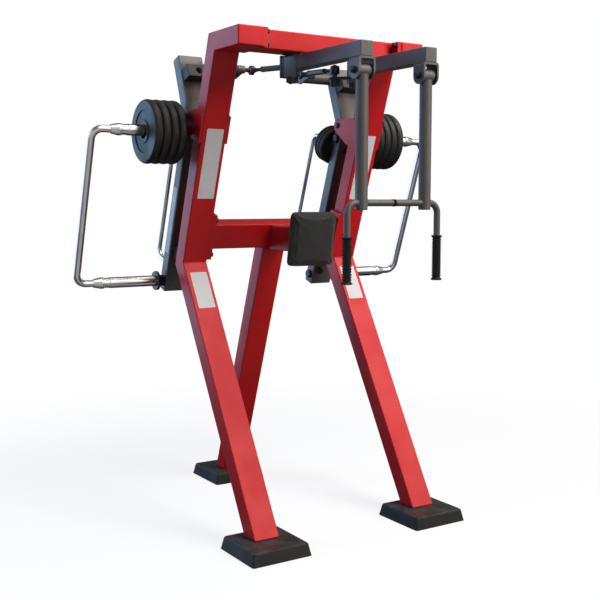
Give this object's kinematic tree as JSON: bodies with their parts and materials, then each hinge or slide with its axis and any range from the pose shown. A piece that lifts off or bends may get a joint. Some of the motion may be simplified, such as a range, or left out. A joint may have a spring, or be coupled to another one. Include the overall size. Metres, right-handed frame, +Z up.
{
  "type": "reverse fly machine",
  "caption": "Free-standing reverse fly machine: tripod steel frame, overhead swinging arms with hanging handles, linked to levers with captive weight plates.",
  "frame": {"origin": "on the floor, under the middle of the machine's outline: halfway between the handles and the rear foot", "axes": "+Z up, +X to the right as seen from in front of the handles, +Y from the handles towards the rear foot"},
  "size_m": [1.832, 1.572, 2.15],
  "materials": {
    "red_paint": "satin",
    "graphite_paint": "satin",
    "chrome": "polished",
    "black_steel": "satin",
    "black_rubber": "matte",
    "pad_cover": "matte"
  },
  "bodies": {
    "frame": {"foot_left": "black_rubber", "foot_right": "black_rubber", "foot_rear": "black_rubber", "side_frame_left": "red_paint", "side_frame_right": "red_paint", "top_crossbeam": "red_paint", "mid_crossbeam": "red_paint", "rear_leg": "red_paint", "pad_stub": "red_paint", "pad_plate": "black_steel", "torso_pad": "pad_cover", "lever_pivot_bolt_left": "black_steel", "lever_pivot_bolt_right": "black_steel", "arm_pin_left": "black_steel", "arm_pin_right": "black_steel"},
    "arm_left": {"arm_left": "graphite_paint", "clevis_left": "graphite_paint", "clevis_pin_left": "black_steel"},
    "handle_left": {"hanger_left": "graphite_paint", "handle_bar_left": "graphite_paint", "grip_left": "black_rubber"},
    "lever_left": {"lever_left": "graphite_paint", "cross_tube_left": "graphite_paint", "bumper_left": "black_rubber", "side_rail_left": "chrome", "rear_rail_left": "chrome"},
    "side_plates_left": {"side_plate_left_1": "black_rubber", "side_plate_left_2": "black_rubber", "side_plate_left_3": "black_rubber", "side_plate_left_4": "black_rubber"},
    "rear_plates_left": {"rear_plate_left_1": "black_rubber", "rear_plate_left_2": "black_rubber", "rear_plate_left_3": "black_rubber"},
    "link_ball_left": {"link_ball_left": "chrome"},
    "link_left": {"link_left": "graphite_paint"},
    "arm_right": {"arm_right": "graphite_paint", "clevis_right": "graphite_paint", "clevis_pin_right": "black_steel"},
    "handle_right": {"hanger_right": "graphite_paint", "handle_bar_right": "graphite_paint", "grip_right": "black_rubber"},
    "lever_right": {"lever_right": "graphite_paint", "cross_tube_right": "graphite_paint", "bumper_right": "black_rubber", "side_rail_right": "chrome", "rear_rail_right": "chrome"},
    "side_plates_right": {"side_plate_right_1": "black_rubber", "side_plate_right_2": "black_rubber", "side_plate_right_3": "black_rubber", "side_plate_right_4": "black_rubber"},
    "rear_plates_right": {"rear_plate_right_1": "black_rubber", "rear_plate_right_2": "black_rubber", "rear_plate_right_3": "black_rubber"},
    "link_ball_right": {"link_ball_right": "chrome"},
    "link_right": {"link_right": "graphite_paint"}
  },
  "joints": [
    {"name": "lever_hinge_left", "type": "hinge", "parent": "frame", "child": "lever_left", "pos_m": [-0.4144, 0.13674, 1.8157], "axis": [1, 0, 0], "range_deg": [0, 30.8]},
    {"name": "arm_hinge_left", "type": "hinge", "parent": "frame", "child": "arm_left", "pos_m": [-0.1636, -0.24396, 2.017], "axis": [0, 0, -1], "range_deg": [0, 90]},
    {"name": "handle_swing_left", "type": "hinge", "parent": "arm_left", "child": "handle_left", "pos_m": [-0.158, -0.75196, 1.944], "axis": [1, 0, 0], "range_deg": [-25, 25]},
    {"name": "side_plates_slide_left", "type": "slide", "parent": "lever_left", "child": "side_plates_left", "axis": [-1, 0, 0], "range_m": [0, 0.07]},
    {"name": "rear_plates_slide_left", "type": "slide", "parent": "lever_left", "child": "rear_plates_left", "axis": [0, 0.9421, 0.3354], "range_m": [0, 0.045]},
    {"name": "link_pitch_left", "type": "hinge", "parent": "lever_left", "child": "link_ball_left", "pos_m": [-0.132, 0.14525, 2.04579], "axis": [-1, 0, 0], "range_deg": [0, 36]},
    {"name": "link_yaw_left", "type": "hinge", "parent": "link_ball_left", "child": "link_left", "pos_m": [-0.132, 0.14525, 2.04579], "axis": [0, 0, 1], "range_deg": [0, 6]},
    {"name": "lever_hinge_right", "type": "hinge", "parent": "frame", "child": "lever_right", "pos_m": [0.4144, 0.13674, 1.8157], "axis": [1, 0, 0], "range_deg": [0, 30.8]},
    {"name": "arm_hinge_right", "type": "hinge", "parent": "frame", "child": "arm_right", "pos_m": [0.1636, -0.24396, 2.017], "axis": [0, 0, 1], "range_deg": [0, 90]},
    {"name": "handle_swing_right", "type": "hinge", "parent": "arm_right", "child": "handle_right", "pos_m": [0.158, -0.75196, 1.944], "axis": [1, 0, 0], "range_deg": [-25, 25]},
    {"name": "side_plates_slide_right", "type": "slide", "parent": "lever_right", "child": "side_plates_right", "axis": [1, 0, 0], "range_m": [0, 0.07]},
    {"name": "rear_plates_slide_right", "type": "slide", "parent": "lever_right", "child": "rear_plates_right", "axis": [0, 0.9421, 0.3354], "range_m": [0, 0.045]},
    {"name": "link_pitch_right", "type": "hinge", "parent": "lever_right", "child": "link_ball_right", "pos_m": [0.132, 0.14525, 2.04579], "axis": [-1, 0, 0], "range_deg": [0, 36]},
    {"name": "link_yaw_right", "type": "hinge", "parent": "link_ball_right", "child": "link_right", "pos_m": [0.132, 0.14525, 2.04579], "axis": [0, 0, -1], "range_deg": [0, 6]}
  ],
  "couplings": [
    {"joint": "arm_hinge_left", "follows": "lever_hinge_left", "ratio": 2.9145},
    {"joint": "link_pitch_left", "follows": "lever_hinge_left", "ratio": 1.1625},
    {"joint": "link_yaw_left", "follows": "lever_hinge_left", "ratio": 0.165},
    {"joint": "arm_hinge_right", "follows": "lever_hinge_right", "ratio": 2.9145},
    {"joint": "link_pitch_right", "follows": "lever_hinge_right", "ratio": 1.1625},
    {"joint": "link_yaw_right", "follows": "lever_hinge_right", "ratio": 0.165}
  ]
}
